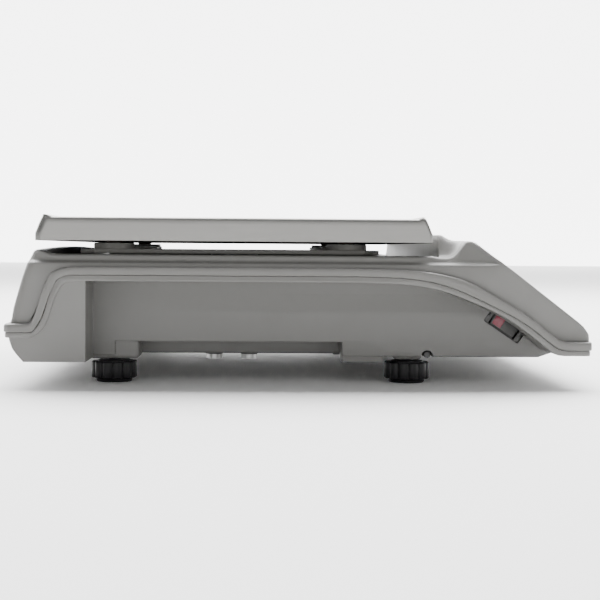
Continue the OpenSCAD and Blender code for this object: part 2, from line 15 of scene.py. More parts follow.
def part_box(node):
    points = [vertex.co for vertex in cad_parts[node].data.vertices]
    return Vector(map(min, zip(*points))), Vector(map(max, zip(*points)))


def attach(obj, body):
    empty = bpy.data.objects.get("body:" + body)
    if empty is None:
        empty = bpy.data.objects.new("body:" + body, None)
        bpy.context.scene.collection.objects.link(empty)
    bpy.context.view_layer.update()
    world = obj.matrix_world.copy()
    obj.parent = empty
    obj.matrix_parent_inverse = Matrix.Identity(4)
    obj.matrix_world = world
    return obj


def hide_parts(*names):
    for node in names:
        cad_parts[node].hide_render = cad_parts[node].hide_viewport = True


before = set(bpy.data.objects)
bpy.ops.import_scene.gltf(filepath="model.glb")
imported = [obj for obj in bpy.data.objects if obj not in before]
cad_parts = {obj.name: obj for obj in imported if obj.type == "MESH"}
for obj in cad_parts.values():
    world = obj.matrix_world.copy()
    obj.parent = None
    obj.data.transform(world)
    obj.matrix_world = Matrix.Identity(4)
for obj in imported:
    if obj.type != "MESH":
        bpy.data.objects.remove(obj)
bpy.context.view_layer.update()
MM = 0.001

# %% [markdown]
# ## Sizes
# All the shapes below are written in millimetres, the way the moulding's drawing would be. The main sizes
# are read from the engineering model, so that every new shape lands where its sub-part is.

# %% Sizes from the model
# RIDGE is where the panel begins, and DECK and RAIL are the heights of the cover's middle and side rails.
case_lo, case_hi = (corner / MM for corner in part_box("top_cover"))
plate_lo, plate_hi = (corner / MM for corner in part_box("platter"))
spider_lo, spider_hi = (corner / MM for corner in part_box("spider"))
REAR, FRONT, HALF_W = case_lo.x, case_hi.x, case_hi.y
RIDGE = plate_hi.x + 27
PANEL_TOP = 88.8
NOSE_TOP = 38.2
PANEL_SLOPE = (PANEL_TOP - NOSE_TOP) / (FRONT - 3.6 - RIDGE)
PANEL_ANGLE = math.atan(PANEL_SLOPE)
DECK, RAIL = 78.3, 80.5
WALL = 2.6
print("casing %.0f x %.0f mm, ridge at %.0f" % (FRONT - REAR, 2 * HALF_W, RIDGE))

# %% [markdown]
# ## Helpers
# Most of the pieces start as a Blender primitive that is shaped in edit mode and finished with modifiers.
# A few small helpers keep that short. They make a piece the only selected one, name it, apply a modifier,
# round its edges, smooth its shading, turn its faces outwards, cut it with another piece, or join pieces.
# Modifiers were chosen over moving points by hand, because their widths can be read and changed.


# %% Selection and modifiers
MERGE_WITHIN = 0.00001


def only(piece):
    bpy.ops.object.select_all(action="DESELECT")
    piece.select_set(True)
    bpy.context.view_layer.objects.active = piece
    return piece


def added(name):
    piece = bpy.context.object
    piece.name = piece.data.name = name
    return only(piece)


def modify(piece, kind, **settings):
    only(piece)
    modifier = piece.modifiers.new(kind.lower(), kind)
    for key, value in settings.items():
        setattr(modifier, key, value)
    bpy.ops.object.modifier_apply(modifier=modifier.name)
    return piece


def bevel(piece, width, segments=3, angle=30):
    return modify(piece, "BEVEL", width=width * MM, segments=segments, limit_method="ANGLE",
                  angle_limit=math.radians(angle), harden_normals=False)


def smooth(piece, angle=35):
    only(piece)
    bpy.ops.object.shade_smooth_by_angle(angle=math.radians(angle))
    return piece


def outward(piece):
    only(piece)
    bpy.ops.object.mode_set(mode="EDIT")
    bpy.ops.mesh.select_all(action="SELECT")
    bpy.ops.mesh.remove_doubles(threshold=MERGE_WITHIN)
    bpy.ops.mesh.normals_make_consistent(inside=False)
    bpy.ops.object.mode_set(mode="OBJECT")
    return piece


def boolean(piece, tool, operation="DIFFERENCE"):
    modify(piece, "BOOLEAN", object=tool, operation=operation, solver="EXACT")
    bpy.data.objects.remove(tool)
    return piece


def joined(name, pieces):
    only(pieces[0])
    for piece in pieces:
        piece.select_set(True)
    if len(pieces) > 1:
        bpy.ops.object.join()
    return added(name)


# %% [markdown]
# A bar with a drawn outline is the commonest shape in a casing. A filled circle with as many corners as the
# outline has is moved onto the outline, and extruded along the third axis.


# %% Bars from an outline
AXES = {"x": (1, 2, 0), "y": (0, 2, 1), "z": (0, 1, 2)}


def prism(name, outline, axis, low, high):
    first, second, along = AXES[axis]
    bpy.ops.object.select_all(action="DESELECT")
    bpy.ops.mesh.primitive_circle_add(vertices=len(outline), fill_type="NGON")
    bar = added(name)
    for vertex, (a, b) in zip(bar.data.vertices, outline):
        place = [0, 0, 0]
        place[first], place[second], place[along] = a * MM, b * MM, low * MM
        vertex.co = place
    reach = [0, 0, 0]
    reach[along] = (high - low) * MM
    bpy.ops.object.mode_set(mode="EDIT")
    bpy.ops.mesh.select_all(action="SELECT")
    bpy.ops.mesh.extrude_region_move(TRANSFORM_OT_translate={"value": reach})
    bpy.ops.object.mode_set(mode="OBJECT")
    return outward(bar)


def box(name, low, high):
    corners = [(low[0], low[1]), (high[0], low[1]), (high[0], high[1]), (low[0], high[1])]
    return prism(name, corners, "z", low[2], high[2])


def turned(name, profile, centre, steps=48):
    """A body of revolution about a vertical axis, from a profile of (radius, height) points."""
    bpy.ops.object.select_all(action="DESELECT")
    bpy.ops.mesh.primitive_circle_add(vertices=len(profile))
    body = added(name)
    for vertex, (r, z) in zip(body.data.vertices, profile):
        vertex.co = ((centre[0] + r) * MM, centre[1] * MM, z * MM)
    middle = (centre[0] * MM, centre[1] * MM, 0)
    bpy.ops.object.mode_set(mode="EDIT")
    bpy.ops.mesh.select_all(action="SELECT")
    bpy.ops.mesh.spin(steps=steps, angle=2 * math.pi, center=middle, axis=(0, 0, 1))
    bpy.ops.object.mode_set(mode="OBJECT")
    return outward(body)


# %% [markdown]
# ## Smooth curves through a few points
# The casing's flange, deck and ridge follow smooth lines. Each is given by a few points, and a curve that
# never overshoots is drawn through them.


# %% Curves
def curve(*points):
    xs, zs = (np.array(values, float) for values in zip(*points))
    steps = np.diff(zs) / np.diff(xs)
    slopes = np.zeros(len(xs))
    same = steps[1:] * steps[:-1] > 0
    slopes[1:-1][same] = 2 / (1 / steps[1:][same] + 1 / steps[:-1][same])
    slopes[0], slopes[-1] = steps[0], steps[-1]

    def value(x):
        x = min(max(x, xs[0]), xs[-1])
        i = int(min(max(np.searchsorted(xs, x) - 1, 0), len(xs) - 2))
        h = xs[i + 1] - xs[i]
        t = (x - xs[i]) / h
        rise = zs[i] * (2 * t**3 - 3 * t**2 + 1) + zs[i + 1] * (3 * t**2 - 2 * t**3)
        return rise + h * (slopes[i] * (t**3 - 2 * t**2 + t) + slopes[i + 1] * (t**3 - t**2))

    return value


def ease(value, start, end):
    t = min(max((value - start) / (end - start), 0), 1)
    return t * t * (3 - 2 * t)


def mix(a, b, t):
    return a + (b - a) * t


groove_z = curve(
    (REAR, 38.6), (REAR + 15.4, 38.9), (REAR + 18.6, 43), (REAR + 21.6, 51.4), (REAR + 25.6, 64.6),
    (REAR + 28.1, 68.6), (REAR + 31.1, 70.5), (REAR + 36.6, 72.2), (REAR + 45, 73), (RIDGE - 78, 73),
    (RIDGE - 41, 72.2), (RIDGE - 27.4, 70.6), (RIDGE - 14.3, 67.9), (RIDGE - 4.6, 64.5),
    (RIDGE + 14.4, 54.5), (RIDGE + 26.2, 47.6), (RIDGE + 36.9, 39.9), (RIDGE + 46.5, 32.4),
    (RIDGE + 50.5, 29.8), (RIDGE + 56, 29.2), (FRONT, 29.2))
parting_z = curve(
    (REAR, 33.3), (REAR + 17, 33.5), (REAR + 20.6, 37), (REAR + 24.6, 45), (REAR + 28.4, 57),
    (REAR + 31.5, 63.8), (REAR + 35.5, 66.8), (REAR + 42, 67.9), (RIDGE - 78, 67.9),
    (RIDGE - 50, 67.3), (RIDGE - 34.1, 65.8), (RIDGE - 17.3, 61.7), (RIDGE + 3.7, 52.8),
    (RIDGE + 28.2, 40), (RIDGE + 43, 28.9), (RIDGE + 48.5, 25), (RIDGE + 54, 23.8), (FRONT, 23.8))
print("flange: groove %.1f, parting line %.1f at mid length" % (groove_z(0), parting_z(0)))

# %% [markdown]
# ## Wrapping a grid over a form
# The cover and the platter are thin mouldings with a top, walls all round and rounded corners. A grid
# primitive can be wrapped over such a form: its middle becomes the top, and each outer row of its squares
# becomes one ring of the wall. At a corner, the ring has squares to spare, and they make the round.


# %% The wrapping helper
NOSE_ROUND = 0.4


def wrapped(name, xs, ys, top, edges, rings):
    """edges(x) gives the top's half width at x. A ring is (z(x, y), inset(side, z), corner radius)."""
    count = len(rings)
    last_x, last_y = len(xs) - 1, len(ys) - 1
    across, along = last_x + 2 * count, last_y + 2 * count
    bpy.ops.object.select_all(action="DESELECT")
    bpy.ops.mesh.primitive_grid_add(x_subdivisions=across, y_subdivisions=along, size=2)
    sheet = added(name)
    for vertex in sheet.data.vertices:
        i = round((vertex.co.x + 1) / 2 * across)
        j = round((vertex.co.y + 1) / 2 * along)
        a, b = min(max(i - count, 0), last_x), min(max(j - count, 0), last_y)
        out_x, out_y = i - count - a, j - count - b
        x, y = xs[a], ys[b] * edges(xs[a])
        k = max(abs(out_x), abs(out_y))
        if k == 0:
            vertex.co = (x * MM, y * MM, top(x, y) * MM)
            continue
        height, inset, radius = rings[k - 1]
        z = height(x, y)
        low_x, high_x = REAR + inset("rear", z), FRONT - inset("front", z)
        half = HALF_W - inset("side", z)
        share_x = (x - xs[0]) / (xs[-1] - xs[0])
        at_nose = radius * NOSE_ROUND
        if out_x >= 0 and out_y == 0 or out_x > 0:
            radius = at_nose
        if out_x == 0:
            x, y = mix(low_x + rings[k - 1][2], high_x - at_nose, share_x), math.copysign(half, y)
        elif out_y == 0:
            x, y = (low_x if out_x < 0 else high_x), ys[b] * (half - radius)
        else:
            step = abs(out_y) if abs(out_x) == k else 2 * k - abs(out_x)
            angle = step / (2 * k) * math.pi / 2
            side_x, side_y = math.copysign(1, out_x), math.copysign(1, out_y)
            corner = low_x + radius if side_x < 0 else high_x - radius
            x = corner + side_x * radius * math.cos(angle)
            y = side_y * (half - radius + radius * math.sin(angle))
        vertex.co = (x * MM, y * MM, height(x, y) * MM)
    return sheet


def stations(*stretches):
    """Places along an axis from (start, step) pairs; the last pair's step isn't used."""
    places = []
    for (start, step), (end, _) in zip(stretches, stretches[1:]):
        count = max(round(abs(end - start) / step), 1)
        places += [mix(start, end, n / count) for n in range(count)]
    return places + [stretches[-1][0]]


# %% [markdown]
# ## The top cover
# The cover is one large moulding. Its deck lies low between two side rails, a crest closes it at the rear,
# and at the front a cowl and a ridge rise in front of the platter. The operator's panel slopes down from
# the ridge to the nose. A height for each point of the top says all of that in one function.

# %% The top's height
edge_profile = curve(
    (RIDGE - 27, RAIL), (RIDGE - 22, 79.7), (RIDGE - 17.5, 79.6), (RIDGE - 14.2, 80.6),
    (RIDGE - 11, 83.4), (RIDGE - 8.4, 87.2), (RIDGE - 6.4, 89.4), (RIDGE - 4.8, 90),
    (RIDGE - 2.2, 89.7), (RIDGE, PANEL_TOP))
cowl_profile = curve(
    (RIDGE - 23.2, DECK), (RIDGE - 22.6, 86), (RIDGE - 22.1, 92.6), (RIDGE - 21.4, 93.7),
    (RIDGE - 20, 93.6), (RIDGE - 17, 92), (RIDGE - 13.6, 90.5), (RIDGE - 10, 90),
    (RIDGE - 4, 89.9), (RIDGE - 1.5, 89.5), (RIDGE, PANEL_TOP))
rear_profile = curve(
    (REAR + 19, 1), (REAR + 21.5, 0.9), (REAR + 24.5, 0.45), (REAR + 28, 0.06), (REAR + 31, 0))


def cover_top(x, y):
    a = abs(y)
    crown = 1 - (y / HALF_W) ** 2
    if x > RIDGE:
        return PANEL_TOP - PANEL_SLOPE * (x - RIDGE) - 0.5 * ease(x, FRONT - 8, FRONT - 3)
    floor = mix(DECK, RAIL, ease(a, HALF_W - 26, HALF_W - 22.5))
    if x < REAR + 31:
        return mix(floor, 82.6 + 2.6 * crown, rear_profile(x))
    if x < RIDGE - 27:
        return floor
    edge = edge_profile(x)
    if a < HALF_W - 26 and x < RIDGE - 23:
        edge = DECK
    if x <= RIDGE - 23.4:
        return min(floor, edge)
    cowl = max(cowl_profile(x), floor if x < RIDGE - 22 else 0)
    cowl += 0.8 * crown * ease(x, RIDGE - 23, RIDGE - 20)
    return mix(cowl, edge, ease(a, HALF_W - 27, HALF_W - 14))


print("deck, cowl and ridge:", [round(cover_top(x, 0), 1) for x in (0, RIDGE - 21, RIDGE - 3)])

# %% [markdown]
# The walls lean in as they rise, each side in its own way. Along the sides there is a step half way up, a
# soft shoulder that catches the light in one long line. Below the walls, a narrow groove parts them from
# the flange, which runs round the whole cover and follows the hand recesses.

# %% The walls
side_lean = curve(
    (20, 4.5), (74.2, 4.5), (74.9, 4.8), (75.6, 5.7), (76.2, 7), (76.9, 8), (77.6, 8.4), (92, 12))
rear_lean = curve(
    (33, 3), (38.6, 3.1), (50, 5.6), (59, 8.2), (71, 11.8), (76, 13.8), (81, 16), (84, 17.4), (90, 20))
front_lean = curve(
    (20, 0.35), (33.2, 0.35), (34.6, 0.5), (35.8, 1), (36.8, 1.9), (38, 3.4), (40, 5.5))
LEANS = {"side": side_lean, "rear": rear_lean, "front": front_lean}
ROUND = 1.7


def cover_edge(x):
    return HALF_W - side_lean(cover_top(x, HALF_W - 11)) - ROUND


def lean(extra):
    return lambda side, z: LEANS[side](z) + extra


def wall_ring(level, below_top, above_groove):
    def height(x, y):
        return max(min(level, cover_top(x, y) - below_top), groove_z(x) + above_groove)
    return (height, lean(0), 6)


def flange_ring(side, rear, front, height):
    insets = {"side": side, "rear": rear, "front": front}
    return (height, lambda name, z: insets[name], 6)


levels = (81, 78.2, 77.4, 76.8, 76.3, 75.8, 75.3, 74.8, 74.1, 66, 57, 48, 41)
cover_rings = [
    (lambda x, y: cover_top(x, y) - 0.3, lean(0.8), 4),
    (lambda x, y: cover_top(x, y) - 0.9, lean(0.2), 5),
    (lambda x, y: cover_top(x, y) - 1.7, lean(0), 5.5)]
for n, level in enumerate(levels):
    cover_rings.append(wall_ring(level, 1.9 + 0.06 * n, 0.5 + 0.06 * (len(levels) - n)))
cover_rings += [
    flange_ring(4.5, 3.1, 0.55, lambda x, y: groove_z(x) + 0.3),
    flange_ring(4.2, 2.9, 0.75, lambda x, y: groove_z(x) - 0.6),
    flange_ring(3.7, 2.5, 0.6, lambda x, y: groove_z(x) - 0.55),
    flange_ring(3.3, 2.2, 0.3, lambda x, y: groove_z(x) - 0.05),
    flange_ring(1.1, 0.9, 0.15, lambda x, y: groove_z(x) - 0.2),
    flange_ring(0.35, 0.3, 0.05, lambda x, y: groove_z(x) - 0.7),
    flange_ring(0, 0, 0, lambda x, y: groove_z(x) - 1.5),
    flange_ring(0, 0, 0, lambda x, y: mix(groove_z(x), parting_z(x), 0.6)),
    flange_ring(0, 0, 0, lambda x, y: parting_z(x) + 0.6),
    flange_ring(0.4, 0.4, 0.4, lambda x, y: parting_z(x) + 0.15),
    flange_ring(WALL, WALL, WALL, lambda x, y: parting_z(x) + 0.12)]
print("rings in the cover's wall:", len(cover_rings))

# %% [markdown]
# The inside of the moulding is a second, plainer wrap with the same number of squares. Its open rim lies on
# the open rim of the outer skin, so merging the doubled points closes the wall. A Solidify modifier would
# need no second wrap, but it would repeat the outer skin's small steps on the inside.

# %% The cover's two skins
TOP_HALF = HALF_W - 11
top_xs = stations(
    (REAR + 18.6, 1.1), (REAR + 31, 4), (REAR + 52, 13), (RIDGE - 78, 5), (RIDGE - 27, 1.8),
    (RIDGE - 23.4, 0.35), (RIDGE - 20.9, 1.2), (RIDGE, 4.6), (FRONT - 12, 1.6), (FRONT - 3.9, 1))
half_ys = stations(
    (0, 11), (HALF_W - 38, 2), (HALF_W - 27, 1.2), (HALF_W - 22, 2), (HALF_W - 13, 1.2), (TOP_HALF, 1))
top_ys = [y / TOP_HALF for y in [-y for y in half_ys[:0:-1]] + half_ys]
cover = wrapped("cover_shell", top_xs, top_ys, cover_top, cover_edge, cover_rings)
inner_count = len(cover_rings)


def inner_ring(n):
    share = n / inner_count

    def height(x, y):
        return mix(cover_top(x, y) - WALL - 0.4, parting_z(x) + 0.12, share)

    def inset(side, z):
        deep = {"side": 15.5, "rear": 22, "front": 8}[side]
        return mix(deep, 7.6, min(1, share * 1.6)) if n < inner_count else WALL

    return (height, inset, 6)


def inner_edge(x):
    return HALF_W - 15


inner = wrapped("cover_inside", top_xs, top_ys, lambda x, y: cover_top(x, y) - WALL, inner_edge,
                [inner_ring(n + 1) for n in range(inner_count)])
only(inner)
bpy.ops.object.mode_set(mode="EDIT")
bpy.ops.mesh.select_all(action="SELECT")
bpy.ops.mesh.flip_normals()
bpy.ops.object.mode_set(mode="OBJECT")
cover = outward(joined("cover_shell", [cover, inner]))
print("cover:", len(cover.data.polygons), "faces")

# %% [markdown]
# ## Openings in the panel and the deck
# Each key, the display window and the level vial get an opening square to the sloped panel. The load
# cell's pillar needs one through the deck.


# %% Cutting the openings
DOWN_PANEL = Vector((math.cos(PANEL_ANGLE), 0, -math.sin(PANEL_ANGLE)))
PANEL_NORMAL = Vector((math.sin(PANEL_ANGLE), 0, math.cos(PANEL_ANGLE)))


def on_panel(piece):
    only(piece)
    piece.rotation_euler = (0, PANEL_ANGLE, 0)
    piece.location = (RIDGE * MM, 0, PANEL_TOP * MM)
    bpy.ops.object.transform_apply(location=True, rotation=True, scale=True)
    return piece


def panel_place(s, y, rise=0.0):
    return Vector((RIDGE, y, PANEL_TOP)) + DOWN_PANEL * s + PANEL_NORMAL * rise


def panel_slot(s, y, height, width, depth=(-10, 6)):
    return on_panel(bevel(box("slot", (s - height / 2, y - width / 2, depth[0]),
                              (s + height / 2, y + width / 2, depth[1])), 0.8, 2))


KEY_ROWS, KEY_PITCH = (41, 55, 69), 22
FUNCTION_KEYS = (("zero", "tare"), ("sample", "unit"), ("add", "recall"))
NUMBER_KEYS = (("7", "8", "9", "0"), ("4", "5", "6", "point"), ("1", "2", "3", "clear"))
KEYS = {}
for rows, first_y in ((FUNCTION_KEYS, -66), (NUMBER_KEYS, 0)):
    for s, row in zip(KEY_ROWS, rows):
        for n, word in enumerate(row):
            KEYS["key_" + word] = (s, first_y + KEY_PITCH * n)
WINDOW_S, VIAL_S, VIAL_Y = 17, 15, 140
slots = [panel_slot(s, y, 11.8, 19.8) for s, y in KEYS.values()]
slots.append(panel_slot(WINDOW_S, 0, 22.4, 210.4, (-1.6, 6)))
slots.append(panel_slot(WINDOW_S, 0, 17, 205))
vial_hole = turned("slot", [(0, -10), (9.2, -10), (9.2, 6), (0, 6)], (VIAL_S, VIAL_Y), 32)
slots.append(on_panel(vial_hole))
pillar_lo, pillar_hi = (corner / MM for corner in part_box("spider_pillar"))
slots.append(box("slot", (pillar_lo.x - 5, pillar_lo.y - 5, 60), (pillar_hi.x + 5, pillar_hi.y + 5, 82)))
boolean(cover, joined("slots", slots))
smooth(cover, 40)
print("cover with its openings:", len(cover.data.polygons), "faces")

# %% [markdown]
# ## The base
# The base meets the cover at the parting line with a thinner flange of its own. Below it hangs a narrower
# tub whose side walls are the hand recesses, a lower floor down the middle, and a full-width block at the
# rear. Each is a bar with a drawn outline; they are united, and then hollowed with smaller bars.

# %% The flange and the tub
under_z = curve(
    (REAR, 30.1), (REAR + 15.1, 30.2), (REAR + 20.6, 32.6), (REAR + 25.1, 37.4), (REAR + 28.1, 44.6),
    (REAR + 30.6, 52.5), (REAR + 34.1, 60.3), (REAR + 39.6, 63.8), (REAR + 45, 64.4), (RIDGE - 78, 64.4),
    (RIDGE - 59, 64.1), (RIDGE - 41.3, 63.2), (RIDGE - 32, 61.8), (RIDGE - 20, 58.9), (RIDGE + 3.8, 49.9),
    (RIDGE + 18.7, 42.4), (RIDGE + 30, 34.6), (RIDGE + 42.2, 25), (RIDGE + 46.6, 21.6), (RIDGE + 52, 20.6),
    (FRONT, 20.6))
flange_xs = stations(
    (REAR, 5), (REAR + 15, 1.2), (REAR + 45, 20), (RIDGE - 78, 5), (RIDGE - 41, 3.5), (FRONT, 1))


def parting_line(low, high, drop=0.0):
    inside = [x for x in flange_xs if low < x < high]
    return [(x, parting_z(x) - drop) for x in [low] + inside + [high]]


def rounded(low_x, high_x, half, rear_r, front_r, steps=6):
    outline = []
    for end, side, r, start in ((high_x, 1, front_r, 0), (low_x, 1, rear_r, 90), (low_x, -1, rear_r, 180),
                                (high_x, -1, front_r, 270)):
        cx, cy = end - r if end == high_x else end + r, side * (half - r)
        for n in range(steps + 1):
            angle = math.radians(start + 90 * n / steps)
            outline.append((cx + r * math.cos(angle), cy + r * math.sin(angle)))
    return outline


def intersect(piece, tool):
    return boolean(piece, tool, "INTERSECT")


def profile(drop, *low):
    start, end = low[0][0], low[-1][0]
    return list(low) + parting_line(start, end, drop)[::-1]


BLOCK_END, LOW_FROM, TIP = REAR + 49.3, RIDGE - 80, RIDGE + 45
PAN_Z, LOW_Z = 15.7, 16.7
NOSE_FOOT = (FRONT - 9.5, 22)
slab_side = parting_line(REAR, FRONT) + [(x, under_z(x)) for x in flange_xs[::-1]]
slab_plan = rounded(REAR + 0.6, FRONT - 0.9, HALF_W - 0.6, 5.6, 2.2)
slab = prism("slab", slab_side, "y", -HALF_W, HALF_W)
slab = bevel(intersect(slab, prism("plan", slab_plan, "z", 0, 90)), 0.55, 2, 50)
tub_half = [(135, 12), (135.7, 27), (136.5, 45), (135, 56), (134.2, 70)]
tub = prism("tub", [(-y, z) for y, z in tub_half] + tub_half[::-1], "x", BLOCK_END - 4, FRONT - 9)
tub_side = profile(0.1, (BLOCK_END - 6, 17), (REAR + 63, 17), (REAR + 63, 25.7), (LOW_FROM, 25.7),
                   (LOW_FROM, LOW_Z), (TIP, LOW_Z), NOSE_FOOT)
tub = bevel(intersect(tub, prism("profile", tub_side, "y", -150, 150)), 0.9, 3, 50)
pan_side = profile(0.1, (REAR + 20, PAN_Z), (LOW_FROM - 3, PAN_Z), (LOW_FROM, LOW_Z), (TIP, LOW_Z), NOSE_FOOT)
pan = bevel(prism("pan", pan_side, "y", -100.5, 100.5), 0.9, 3, 50)
block_side = profile(0.1, (REAR + 3.6, 29), (REAR + 5.6, 23.9), (REAR + 8.2, 20.2), (REAR + 12.2, PAN_Z),
                     (BLOCK_END, PAN_Z))
block_plan = rounded(REAR + 2, BLOCK_END, HALF_W - 1.5, 5, 0.4)
block = intersect(prism("block", block_side, "y", -HALF_W, HALF_W), prism("plan", block_plan, "z", 0, 90))
block = bevel(block, 1.1, 3, 40)
base = slab
for part in (tub, pan, block):
    base = boolean(base, part, "UNION")
hollows = ((BLOCK_END - 8, FRONT - 17, 131, 28.3), (LOW_FROM + 3, FRONT - 26, 128, 19.3),
           (REAR + 24, FRONT - 24, 98, 19), (REAR + 18, BLOCK_END - 2.6, HALF_W - 8, 19))
for low, high, half, floor in hollows:
    base = boolean(base, box("hollow", (low, -half, floor), (high, half, 120)))
print("base shell:", len(base.data.polygons), "faces")

# %% [markdown]
# Bosses carry the feet and the screws, a deep frame round the middle holds the battery, and the left wall
# has a pocket for the power switch. The lower edge of each side wall has a small half-round notch with a
# pin in it, in front of the front foot.

# %% Bosses, battery frame and pockets
inserts = [(x, y) for x in (REAR + 61.6, plate_hi.x - 11) for y in (-126, 126)]
load_x = (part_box("load_cell")[0].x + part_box("load_cell")[1].x) / 2 / MM
screws = [(x, side * y, z) for side in (-1, 1) for x, y, z in (
    (REAR + 25, 106.5, 15.7), (load_x + 45, 123.5, 27), (RIDGE - 6, 121.5, 16.7))]


def pin(x, y, radius, low, high, steps=32):
    bpy.ops.object.select_all(action="DESELECT")
    bpy.ops.mesh.primitive_cylinder_add(vertices=steps, radius=radius * MM, depth=(high - low) * MM,
                                        location=(x * MM, y * MM, (low + high) / 2 * MM))
    bpy.ops.object.transform_apply(location=True, rotation=True, scale=True)
    return added("pin")


def cross_pin(name, place, radius, depth, steps=32):
    """A pin that lies across the scale; unlike the others, its sizes are in metres."""
    bpy.ops.object.select_all(action="DESELECT")
    bpy.ops.mesh.primitive_cylinder_add(vertices=steps, radius=radius, depth=depth,
                                        rotation=(math.pi / 2, 0, 0), location=place)
    bpy.ops.object.transform_apply(location=True, rotation=True, scale=True)
    return added(name)


for x, y in inserts:
    r = 16 if x < 0 else 9
    near, far = sorted((math.copysign(132.8, y), math.copysign(109, y)))
    base = boolean(base, bevel(box("housing", (x - r, near, 14.6), (x + r, far, 40)), 2.2, 3), "UNION")
for side in (-1, 1):
    near, far = sorted((side * 132.5, side * 104))
    lip = box("lip", (LOW_FROM + 0.5, near, 12.6), (plate_hi.x - 27, far, 19))
    base = boolean(base, bevel(lip, 0.7, 2), "UNION")
for x, y, low in screws:
    base = boolean(base, pin(x, y, 6, low + 0.2, 48), "UNION")
base = boolean(base, bevel(box("frame", (26.6, -59.5, 11.4), (103.4, 59.5, 19.2)), 1.2, 3), "UNION")
battery_lo, battery_hi = (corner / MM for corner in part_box("battery"))
door_lo, door_hi = (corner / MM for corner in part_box("battery_door"))
cuts = [box("cut", (battery_lo.x - 0.5, battery_lo.y - 0.5, 8), (battery_hi.x + 0.5, battery_hi.y + 0.5, 40)),
        box("cut", (door_lo.x - 0.3, door_lo.y - 0.4, door_lo.z - 0.3),
            (door_hi.x + 6, door_hi.y + 0.4, door_hi.z + 0.3))]
cuts += [pin(x, y, 4.8, 10, 60) for x, y in inserts] + [pin(x, y, 6, 10, 26.6) for x, y in inserts]
cuts += [pin(x, y, 4.2, 10, 42) for x, y, _ in screws] + [pin(x, y, 2.2, 40, 60) for x, y, _ in screws]
CELL_END, BOLT_X, BOLT_Y = 50, 12, 7.5
bolts = [(load_x + a * BOLT_X, b * BOLT_Y - CELL_END) for a in (-1, 1) for b in (-1, 1)]
for x, y in bolts:
    base = boolean(base, bevel(pin(x, y, 6, 11.75, 19.5), 0.5, 2), "UNION")
    cuts.append(pin(x, y, 3.2, 8, 30))
cuts.append(pin(load_x, CELL_END, 3, 8, 30))
SWITCH = Matrix.Translation((RIDGE * MM + 0.0235, -0.1365, 0.0372)) @ Matrix.Rotation(
    math.pi / 2, 4, "X") @ Matrix.Rotation(math.radians(-34), 4, "Z")


def at_switch(piece):
    piece.matrix_world = SWITCH
    only(piece)
    bpy.ops.object.transform_apply(location=True, rotation=True, scale=True)
    return piece


cuts.append(at_switch(bevel(box("cut", (-13.3, -5.6, -20), (13.3, 7.4, 9)), 1, 2)))
jack_lo, jack_hi = (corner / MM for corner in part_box("dc_jack"))
cuts.append(cross_pin("cut", ((jack_lo.x + jack_hi.x) / 2 * MM, 0.1365, 0.045), 0.0041, 0.03))
for side in (-1, 1):
    cuts.append(cross_pin("cut", (RIDGE * MM - 0.026, side * 0.132, 0.0172), 0.0037, 0.016, 40))
for cut in cuts:
    base = boolean(base, cut)
notch_pins = []
for side in (-1, 1):
    notch_pin = cross_pin("notch_pin", (RIDGE * MM - 0.0255, side * 0.1215, 0.0178), 0.0021, 0.02)
    notch_pins.append(bevel(notch_pin, 0.4, 2))
base.name = "base_shell"
smooth(outward(base), 35)
print("base:", len(base.data.polygons), "faces")

# %% [markdown]
# ## The platter
# The platter is pressed from one stainless sheet. Its long sides turn down square, and its front and rear
# edges rise to a low bead before they slope out and down.

# %% The platter's shell
PLATE_TOP = plate_hi.z


def plate_inset(side, end):
    reach = {"side": HALF_W - plate_hi.y + side, "rear": plate_lo.x - REAR + end,
             "front": FRONT - plate_hi.x + end}
    return lambda name, z: reach[name]


def plate_top(x, y):
    end = min(x - plate_lo.x, plate_hi.x - x)
    bead = ease(end, 4.4, 5.6) if end < 6.6 else 1 - ease(end, 6.8, 9)
    return PLATE_TOP - 0.1 + 1.3 * bead


def rim(at_side, at_end):
    def height(x, y):
        end = min(x - plate_lo.x, plate_hi.x - x)
        return PLATE_TOP - mix(at_end, at_side, ease(end, 5.5, 9))
    return height


def down(drop):
    return lambda x, y: PLATE_TOP - drop


def plate_skin(name, inset):
    ends = 5 + 0.4 * inset
    xs = stations((plate_lo.x + ends, 0.35), (plate_lo.x + 10.5, 12), (plate_hi.x - 10.5, 0.35),
                  (plate_hi.x - ends, 1))
    ys = stations((-1, 0.05), (1, 1))
    rings = [(rim(0.5 + inset, -0.5 + inset), plate_inset(0.9 + inset, 4.6 + inset), 4),
             (rim(1.2 + inset, 0.6 + inset), plate_inset(0.25 + inset, 4.1 + inset), 4.6),
             (rim(2.2 + inset, 1.8 + inset), plate_inset(inset, 3.5 + inset), 5)]
    for drop, out in ((4.5, 2.3), (8.8, 0.6), (9.6, 0.2), (10.4, 0), (12.6, 0), (14.4, 0)):
        rings.append((down(drop), plate_inset(inset, out + inset), 5))
    lip = 0.25 + 0.5 * inset
    rings.append((down(14.6), plate_inset(lip, lip), 5))
    half = plate_hi.y - 1.9 - inset
    return wrapped(name, xs, ys, lambda x, y: plate_top(x, y) - inset, lambda x: half, rings)


SHEET = 1
skins = [plate_skin("plate_outside", 0), plate_skin("plate_inside", SHEET)]
platter = outward(joined("platter_shell", skins))
only(platter)
bpy.ops.object.mode_set(mode="EDIT")
bpy.ops.mesh.select_all(action="DESELECT")
bpy.ops.mesh.select_mode(type="EDGE")
bpy.ops.mesh.select_non_manifold()
bpy.ops.mesh.bridge_edge_loops()
bpy.ops.object.mode_set(mode="OBJECT")
smooth(outward(platter), 50)
print("platter:", len(platter.data.polygons), "faces")

# %% [markdown]
# ## What carries the platter
# A cast spider sits on the load cell's pillar. Its four bosses hold rubber posts, and the platter's cups
# rest on them. Only a dark strip of all this shows in the gap between the platter and the cover.

